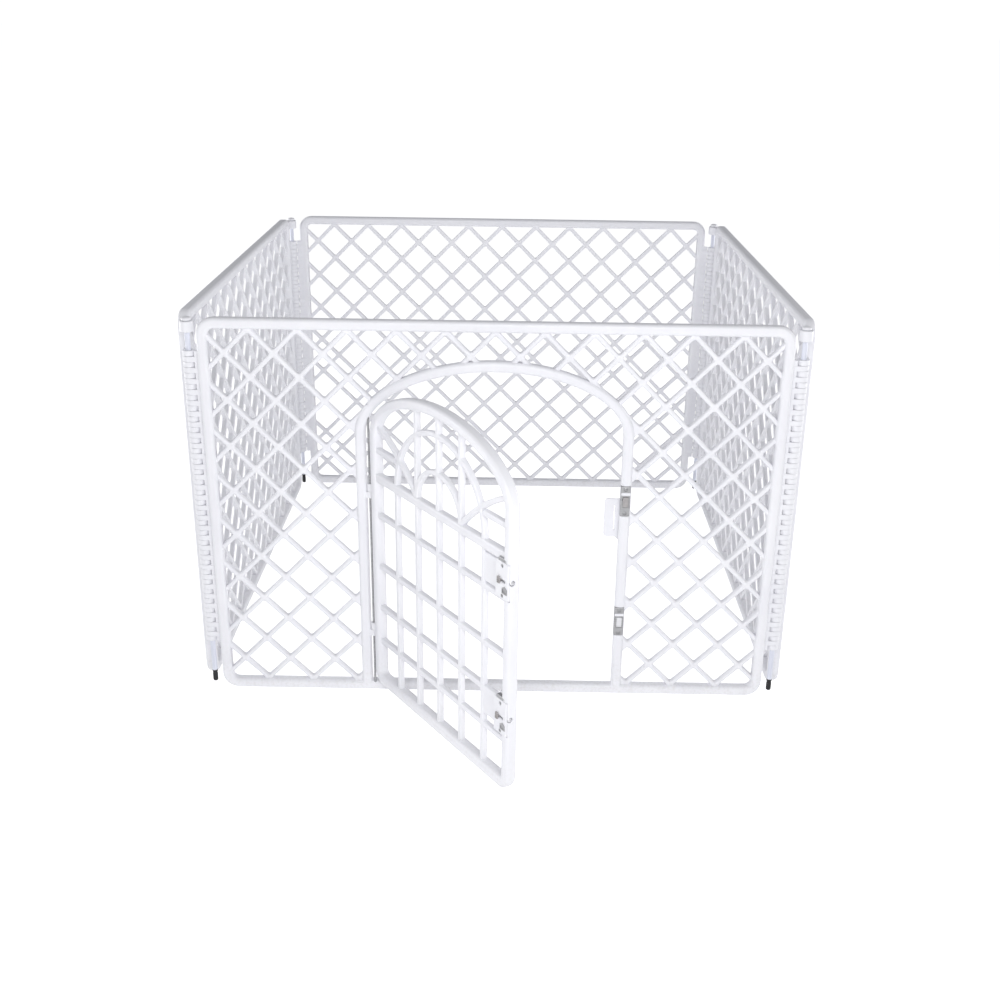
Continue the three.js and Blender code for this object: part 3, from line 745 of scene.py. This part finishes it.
door = piece_from("door_moulding", [door_ring()])
webs = [cell_plate(height) for height in latch_heights]
seats = [seat_backing(height) for height in latch_heights]
for group in (uprights, rails, [big_arc, small_arc], leaning, stubs, webs, seats, [lug(low) for low in lug_heights]):
    fuse(door, group)
cut(door, [latch_seat(height) for height in latch_heights])
cut(door, [bolt_hole(height) for height in latch_heights])
cut(door, [turned(rod_path, (0, 0, 0), sides=16)])
place(door, -door_open, hinge_x, hinge_y)
print("the door has", len(door.data.polygons), "faces")

# %% [markdown]
# ## The latches
#
# A latch is a white case with a steel bolt in it. A slot in the front lets a ribbed thumb piece push the bolt
# out of the case's end and into the keeper. The case is a plate with round rims, and its slot, bore and screw
# holes are cut in the same way as a milling cutter would.

# %% Latch sizes
bolt_length = 24 * MM
bolt_set_back = 1 * MM
bolt_throw = 10 * MM
knob_width = 6 * MM
knob_height = 10 * MM
knob_proud = 2.6 * MM
stem_half = 2 * MM
staple_inset = 9.5 * MM
staple_drop = 13 * MM
staple_width = 11 * MM
bolt_end = door_right - bolt_set_back
slot_start = bolt_end - bolt_length
screw_inset = 5 * MM
screw_sunk = 0.2 * MM
head_radius = 2.6 * MM


# %% Screws
def screw(name, x, front, height):
    """A domed head over a short shank along Y, with a cross cut into the head."""
    dome = [(head_radius * math.sin(a), front + 0.5 * MM - 0.5 * MM * math.cos(a)) for a in np.linspace(0, 1.5, 7)]
    body = [(head_radius, front + 0.8 * MM), (1.3 * MM, front + 1.6 * MM), (1.3 * MM, front + 5 * MM)]
    profile = dome + body + [(0, front + 5 * MM)]
    piece = piece_from(name, [turned(profile, (x, 0, height), "y", 24)])
    for long_x, long_z in ((1.5 * MM, 0.35 * MM), (0.35 * MM, 1.5 * MM)):
        y = (front - MM, front + 0.9 * MM)
        cut(piece, [block((x - long_x, x + long_x), y, (height - long_z, height + long_z))])
    return piece


def screw_hole(x, front, height):
    radius = head_radius + 0.3 * MM
    profile = [(radius, front - 2 * MM), (radius, front + 0.9 * MM), (1.5 * MM, front + 1.8 * MM), (1.5 * MM, front + 6 * MM)]
    return turned(profile, (x, 0, height), "y", 24)


# %% Case, bolt and thumb piece
latch_pieces = []


def latch(place_name, height):
    """Makes one latch in the door's frame: the case, the bolt, the thumb piece and two screws."""
    reach = latch_height / 2
    case_end = door_right - end_wall - 0.3 * MM
    outline = rounded_rectangle(door_right - latch_width, case_end, height - reach, height + reach, 2.5 * MM)
    case = piece_from("latch_cover_" + place_name, [plate(outline, case_front, case_back, 1.4 * MM)])
    slot_end = slot_start + bolt_throw + knob_width + MM
    slot = rounded_rectangle(slot_start, slot_end, height - stem_half - 0.5 * MM, height + stem_half + 0.5 * MM, MM)
    cut(case, [plate(slot, case_front - MM, bolt_y)])
    bore = [(bolt_radius + 0.5 * MM, slot_start - MM), (bolt_radius + 0.5 * MM, door_right + MM)]
    cut(case, [turned(bore, (0, bolt_y, height), "x", 32)])
    screw_x = door_right - latch_width / 2
    screw_heights = [height - reach + screw_inset, height + reach - screw_inset]
    screw_front = case_front + screw_sunk
    cut(case, [screw_hole(screw_x, screw_front, z) for z in screw_heights])
    nose = 1.2 * MM
    profile = [(0, slot_start), (bolt_radius, slot_start), (bolt_radius, bolt_end - nose),
               (bolt_radius - 0.4 * nose, bolt_end - 0.3 * nose), (bolt_radius - nose, bolt_end), (0, bolt_end)]
    bolt = piece_from("bolt_" + place_name, [turned(profile, (0, bolt_y, height), "x", 32)])
    knob_x = slot_start + 0.6 * MM
    grip = rounded_rectangle(knob_x, knob_x + knob_width, height - knob_height / 2, height + knob_height / 2, 1.2 * MM)
    knob_front = case_front - knob_proud
    knob = piece_from("thumb_piece_" + place_name, [plate(grip, knob_front, case_front - 0.3 * MM, 0.8 * MM)])
    stem = (knob_x + MM, knob_x + knob_width - MM), (height - stem_half, height + stem_half)
    fuse(knob, [block(stem[0], (case_front - MM, bolt_y - bolt_radius - 0.2 * MM), stem[1])])
    for step in (-1, 0, 1):
        z = height + step * 2.6 * MM
        y = (knob_front - MM, knob_front + 0.8 * MM)
        cut(knob, [block((knob_x - MM, knob_x + knob_width + MM), y, (z - 0.6 * MM, z + 0.6 * MM))])
    stud_x = (door_right - latch_width + 5 * MM, door_right - 6 * MM)
    stud = rounded_rectangle(*stud_x, height + reach - MM, height + reach + 5 * MM, 1.8 * MM)
    stud = piece_from("latch_top_stud_" + place_name, [plate(stud, case_front + MM, case_front + 7 * MM, 1.2 * MM)])
    staple_x, staple_z = door_right - staple_inset, height - staple_drop
    side, low, eaves, top = staple_width / 2, -4 * MM, 3.5 * MM, 7 * MM
    house = [(-side, low), (side, low), (side, eaves), (0, top), (-side, eaves)]
    house = np.array(house) + [staple_x, staple_z]
    staple = [plate(house, case_front - 0.9 * MM, case_front + 1.2 * MM, 0.5 * MM)]
    staple = piece_from("latch_staple_" + place_name, staple)
    sunk_x = (staple_x - side + 1.8 * MM, staple_x + side - 1.8 * MM)
    sunk_z = (staple_z + low + 1.6 * MM, staple_z + eaves - MM)
    cut(staple, [block(sunk_x, (case_front - 2 * MM, case_front - 0.2 * MM), sunk_z)])
    made = [(case, "latch_case_" + place_name, "door_leaf", "white_plastic"),
            (bolt, "latch_bolt_" + place_name, "bolt_" + place_name, "bright_steel"),
            (knob, "latch_knob_" + place_name, "bolt_" + place_name, "dark_plastic")]
    for number, z in enumerate(screw_heights, 1):
        mark = f"{place_name}_{number}"
        made.append((screw("cover_screw_" + mark, screw_x, screw_front, z), "latch_screw_" + mark, "door_leaf", "steel"))
    for piece in (stud, staple):
        made.append((piece, None, "door_leaf", "steel"))
    for piece, node, body, finish in made:
        place(piece, -door_open, hinge_x, hinge_y)
        if node:
            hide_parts(node)
        latch_pieces.append((piece, body, finish))


for place_name, height in zip(("lower", "upper"), latch_heights):
    latch(place_name, height)
print("latch pieces", len(latch_pieces))

# %% [markdown]
# ## The keepers and the hinge rod
#
# A keeper is a steel block let into the doorway's stile. Its mouth takes the bolt, a sunk panel in its front
# is as wide as the bolt's travel, and a raised white plastic band crosses it above the panel: a painted
# reflection, white plastic standing for a bright reflection on the steel.

# %% Keepers
keeper_pieces = []
keeper_front = -outer_face - keeper_proud
keeper_back = keeper_front + keeper_thickness - latch_fit
mouth = bolt_radius + 0.9 * MM
painted_reflection_low = 9.5 * MM
painted_reflection_height = 4.5 * MM


def keeper(place_name, height):
    """Makes one keeper and its screws in the front panel's frame."""
    reach = keeper_height / 2
    middle = height - keeper_drop
    x0, x1 = opening_half, opening_half + keeper_width
    outline = rounded_rectangle(x0, x1, middle - reach, middle + reach, 1.2 * MM)
    body = piece_from("strike_" + place_name, [plate(outline, keeper_front, keeper_back, 0.6 * MM)])
    window = rounded_rectangle(x0 + 2.5 * MM, x1 - 1.5 * MM, middle - 10 * MM, middle + 8 * MM, MM)
    cut(body, [plate(window, keeper_front - MM, keeper_front + 1.6 * MM)])
    pad = rounded_rectangle(x0 + 3.4 * MM, x1 - 2.4 * MM, middle - 9 * MM, middle + 7 * MM, 0.8 * MM)
    pad = piece_from("strike_pad_" + place_name, [plate(pad, keeper_front - 0.2 * MM, keeper_front + 1.5 * MM, 0.4 * MM)])
    place(pad, 0, 0, front_y)
    keeper_pieces.append((pad, "front", "dark_plastic" if place_name == "upper" else "bright_steel"))
    y = (-bolt_depth - mouth, -bolt_depth + mouth)
    cut(body, [block((x0 - MM, x0 + 8 * MM), y, (height - mouth, height + mouth))])
    screw_x = (x0 + x1) / 2
    screw_front = keeper_front + screw_sunk
    screw_heights = [middle - reach + screw_inset, middle + reach - screw_inset]
    cut(body, [screw_hole(screw_x, screw_front, z) for z in screw_heights])
    # The raised white plastic band across the keeper is a painted reflection on the steel, not a real strap.
    painted_reflection_band = rounded_rectangle(x0 + 0.4 * MM, x1 + MM, middle + painted_reflection_low, middle + painted_reflection_low + painted_reflection_height, 1.2 * MM)
    painted_reflection_band = piece_from("strike_strap_" + place_name, [plate(painted_reflection_band, keeper_front - 0.8 * MM, keeper_front + MM, 0.7 * MM)])
    place(painted_reflection_band, 0, 0, front_y)
    keeper_pieces.append((painted_reflection_band, "front", "white_plastic"))
    made = [(body, "keeper_" + place_name)]
    for number, z in enumerate(screw_heights, 1):
        mark = f"{place_name}_{number}"
        made.append((screw("strike_screw_" + mark, screw_x, screw_front, z), "keeper_screw_" + mark))
    for piece, node in made:
        place(piece, 0, 0, front_y)
        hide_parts(node)
        keeper_pieces.append((piece, "front", "steel"))


bolt_depth = outer_face + latch_proud - latch_thickness / 2
for place_name, height in zip(("lower", "upper"), latch_heights):
    keeper(place_name, height)
rod_low, rod_high = (edge.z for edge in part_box("door_hinge_rod"))
pin = [(0, rod_low), (hinge_rod_radius - 0.4 * MM, rod_low), (hinge_rod_radius, rod_low + 0.4 * MM),
       (hinge_rod_radius, rod_high - 0.4 * MM), (hinge_rod_radius - 0.4 * MM, rod_high), (0, rod_high)]
hinge_pin = piece_from("hinge_pin", [turned(pin, (hinge_x, hinge_y, 0), sides=20)])
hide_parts("door_hinge_rod")
keeper_pieces.append((hinge_pin, "front", "steel"))
print("keeper pieces", len(keeper_pieces))

# %% [markdown]
# ## Finishes
#
# The white plastic is the whole look of the pen. It is satin, a little blue in the shade, with a fine grain
# from the mould, faint cloudy patches where it cooled, and some dust near the floor. Patterns read Object
# coordinates, which are metres here because every piece's object sits at the origin.


# %% Node helpers
def new_material(name):
    material = bpy.data.materials.new(name)
    material.use_nodes = True
    nodes = material.node_tree.nodes
    return material, nodes, material.node_tree.links, nodes["Principled BSDF"]


def noise(nodes, links, place, scale, detail, stretch=(1, 1, 1)):
    """A noise pattern on the place given, stretched along the axes."""
    mapping = nodes.new("ShaderNodeMapping")
    mapping.inputs["Scale"].default_value = stretch
    links.new(place, mapping.inputs["Vector"])
    texture = nodes.new("ShaderNodeTexNoise")
    texture.inputs["Scale"].default_value = scale
    texture.inputs["Detail"].default_value = detail
    links.new(mapping.outputs["Vector"], texture.inputs["Vector"])
    return texture.outputs["Fac"]


def spread(nodes, links, value, low, high, from_low=0.3, from_high=0.7):
    """Maps a pattern's usual range onto the range given."""
    node = nodes.new("ShaderNodeMapRange")
    node.inputs["From Min"].default_value = from_low
    node.inputs["From Max"].default_value = from_high
    node.inputs["To Min"].default_value = low
    node.inputs["To Max"].default_value = high
    links.new(value, node.inputs["Value"])
    return node.outputs["Result"]


def mixed(nodes, links, share, first, second):
    """Blends two colours, or a colour already made with another, by a share from 0 to 1."""
    node = nodes.new("ShaderNodeMix")
    node.data_type = "RGBA"
    links.new(share, node.inputs["Factor"])
    for socket, colour in ((node.inputs["A"], first), (node.inputs["B"], second)):
        if isinstance(colour, tuple):
            socket.default_value = (*colour, 1)
        else:
            links.new(colour, socket)
    return node.outputs["Result"]


def bump(nodes, links, shader, height, strength, distance):
    node = nodes.new("ShaderNodeBump")
    node.inputs["Strength"].default_value = strength
    node.inputs["Distance"].default_value = distance
    links.new(height, node.inputs["Height"])
    links.new(node.outputs["Normal"], shader.inputs["Normal"])


# %% White plastic
def white_plastic(name, dust=0.35):
    material, nodes, links, shader = new_material(name)
    place = nodes.new("ShaderNodeTexCoord").outputs["Object"]
    cloud = spread(nodes, links, noise(nodes, links, place, 9, 3), 0, 1)
    colour = mixed(nodes, links, cloud, (0.80, 0.80, 0.835), (0.845, 0.845, 0.87))
    streak = spread(nodes, links, noise(nodes, links, place, 60, 4, (1, 1, 0.25)), 0, 0.5)
    colour = mixed(nodes, links, streak, colour, (0.785, 0.785, 0.83))
    height = nodes.new("ShaderNodeSeparateXYZ")
    links.new(place, height.inputs["Vector"])
    low = spread(nodes, links, height.outputs["Z"], dust, 0, 0, 90 * MM)
    speck = spread(nodes, links, noise(nodes, links, place, 240, 5), 0, 1, 0.45, 0.75)
    dusty = nodes.new("ShaderNodeMath")
    dusty.operation = "MULTIPLY"
    links.new(low, dusty.inputs[0])
    links.new(speck, dusty.inputs[1])
    colour = mixed(nodes, links, dusty.outputs["Value"], colour, (0.60, 0.58, 0.55))
    links.new(colour, shader.inputs["Base Color"])
    rough = spread(nodes, links, noise(nodes, links, place, 35, 4), 0.34, 0.50)
    links.new(rough, shader.inputs["Roughness"])
    bump(nodes, links, shader, noise(nodes, links, place, 900, 3), 0.12, 0.15 * MM)
    return material


plastic = white_plastic("moulded_white_plastic")


# %% Coated steel, brushed steel, dark plastic and rubber
def metal(name, dark, light, rough, stretch, metallic):
    """Metal drawn or brushed one way: a noise stretched along that way sets colour, gloss and fine lines."""
    material, nodes, links, shader = new_material(name)
    place = nodes.new("ShaderNodeTexCoord").outputs["Object"]
    lines = noise(nodes, links, place, 500, 5, stretch)
    links.new(mixed(nodes, links, spread(nodes, links, lines, 0, 1), dark, light), shader.inputs["Base Color"])
    links.new(spread(nodes, links, lines, *rough), shader.inputs["Roughness"])
    shader.inputs["Metallic"].default_value = metallic
    bump(nodes, links, shader, lines, 0.15, 0.05 * MM)
    return material


def dull(name, dark, light, rough, grain):
    """Rubber or matt plastic: a fine grain and faint patches."""
    material, nodes, links, shader = new_material(name)
    place = nodes.new("ShaderNodeTexCoord").outputs["Object"]
    patch = spread(nodes, links, noise(nodes, links, place, 150, 4), 0, 1)
    links.new(mixed(nodes, links, patch, dark, light), shader.inputs["Base Color"])
    links.new(spread(nodes, links, patch, *rough), shader.inputs["Roughness"])
    bump(nodes, links, shader, noise(nodes, links, place, grain, 2), 0.3, 0.1 * MM)
    return material


finishes = {
    "white_plastic": plastic,
    # The rods' coating is white: its colour here is darker and bluer, painted shade for the dim corners.
    "coated_steel": metal("coated_rod_steel", (0.64, 0.66, 0.75), (0.74, 0.76, 0.84), (0.22, 0.36), (1, 1, 0.03), 0.0),
    "steel": metal("brushed_latch_steel", (0.34, 0.34, 0.35), (0.50, 0.50, 0.51), (0.30, 0.48), (0.05, 1, 1), 1.0),
    "bright_steel": metal("bright_bolt_steel", (0.70, 0.70, 0.72), (0.84, 0.84, 0.86), (0.30, 0.45), (0.05, 1, 1), 1.0),
    "dark_plastic": dull("grey_thumb_plastic", (0.33, 0.315, 0.315), (0.42, 0.40, 0.40), (0.5, 0.65), 2500),
    "rubber": dull("black_foot_rubber", (0.012, 0.012, 0.014), (0.03, 0.03, 0.032), (0.7, 0.9), 1800),
}
print("finishes", list(finishes))

# %% [markdown]
# ## Bodies and finishes for every piece
#
# Each piece rides on the body that moves it, stands for the part it replaces, and takes its finish. Round
# edges are shaded smooth and hard ones stay crisp. The weighted normals keep the flat faces flat between their
# soft rims, which is how a moulded bar catches the light.

# %% Ride, finish and shade
SHARP = math.radians(40)
mouldings = [(left, "left_panel", "left"), (right, "right_panel", "right"), (back, "back_panel", "back"),
             (front, "front_panel", "front"), (door, "door", "door_leaf")]
for piece, node, _ in mouldings:
    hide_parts(node)
everything = [(piece, body, "white_plastic") for piece, _, body in mouldings]
everything += corner_pieces + latch_pieces + keeper_pieces
for piece, body, finish in everything:
    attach(piece, body)
    piece.data.materials.clear()
    piece.data.materials.append(finishes[finish])
    piece.data.shade_smooth()
    piece.data.set_sharp_from_angle(angle=SHARP)
    weighted = piece.modifiers.new("flat faces stay flat", "WEIGHTED_NORMAL")
    weighted.keep_sharp = True
print("pieces", len(everything), "faces", sum(len(piece.data.polygons) for piece, *_ in everything))

# %% [markdown]
# ## Floor, light and camera
#
# The pen stands on a plain white floor in a white room. If the whole room glowed as brightly as it looks, every
# face would be lit alike and the bars would lose their shape. So the camera sees the room as white, while the
# light that reaches the pen from it is dimmer, and one broad lamp near the camera lights the front.

# %% White for the camera, dimmer for the light
def seen_or_lit(nodes, links, seen, lit, socket):
    """Gives a strength one value for what the camera sees and another for the light that it sends out."""
    node = nodes.new("ShaderNodeMapRange")
    node.inputs["To Min"].default_value = lit
    node.inputs["To Max"].default_value = seen
    links.new(nodes.new("ShaderNodeLightPath").outputs["Is Camera Ray"], node.inputs["Value"])
    links.new(node.outputs["Result"], socket)


FLOOR = 60.0
floor_mesh = bpy.data.meshes.new("floor")
floor_corners = [(-FLOOR, -FLOOR, 0), (FLOOR, -FLOOR, 0), (FLOOR, FLOOR, 0), (-FLOOR, FLOOR, 0)]
floor_mesh.from_pydata(floor_corners, [], [(0, 1, 2, 3)])
floor = bpy.data.objects.new("floor", floor_mesh)
bpy.context.scene.collection.objects.link(floor)
floor_material, floor_nodes, floor_links, floor_shader = new_material("pale_floor")
floor_shader.inputs["Base Color"].default_value = (0.9, 0.9, 0.9, 1)
floor_shader.inputs["Roughness"].default_value = 0.9
floor_shader.inputs["Specular IOR Level"].default_value = 0.0
floor_shader.inputs["Emission Color"].default_value = (1, 1, 1, 1)
seen_or_lit(floor_nodes, floor_links, 0.70, 0.30, floor_shader.inputs["Emission Strength"])
floor_mesh.materials.append(floor_material)

# %% Sky and soft light
world = bpy.data.worlds.new("white_room")
world.use_nodes = True
sky = world.node_tree.nodes["Background"]
sky.inputs["Color"].default_value = (0.95, 0.96, 1.0, 1)
seen_or_lit(world.node_tree.nodes, world.node_tree.links, 1.1, 0.36, sky.inputs["Strength"])
bpy.context.scene.world = world
bpy.context.scene.view_settings.view_transform = "Standard"


def soft_light(name, place, aim, size, power):
    """A square lamp that faces the point it aims at."""
    lamp = bpy.data.lights.new(name, "AREA")
    lamp.size = size
    lamp.energy = power
    light = bpy.data.objects.new(name, lamp)
    bpy.context.scene.collection.objects.link(light)
    direction = np.array(aim) - np.array(place)
    turn = math.atan2(direction[1], direction[0]) - math.pi / 2
    tilt = math.atan2(direction[2], math.hypot(direction[0], direction[1])) + math.pi / 2
    light.location = place
    light.rotation_euler = (tilt, 0, turn)
    return light


soft_light("front", (0.1, -2.0, 1.2), (0, 0, 0.3), 1.0, 20.5)
for side in (-1, 1):
    soft_light("side", (side * 2.3, 0.6, 0.55), (0, 0, 0.35), 1.2, 25)

# %% Camera
camera_data = bpy.data.cameras.new("camera")
camera_data.sensor_width = 36
camera_data.lens = 44.2
camera_data.clip_end = 200
camera = bpy.data.objects.new("camera", camera_data)
bpy.context.scene.collection.objects.link(camera)
camera.location = (0.02125, -2.01466, 1.01393)
camera.rotation_euler = [math.radians(angle) for angle in (68.128, -0.738, 0.692)]
bpy.context.scene.camera = camera
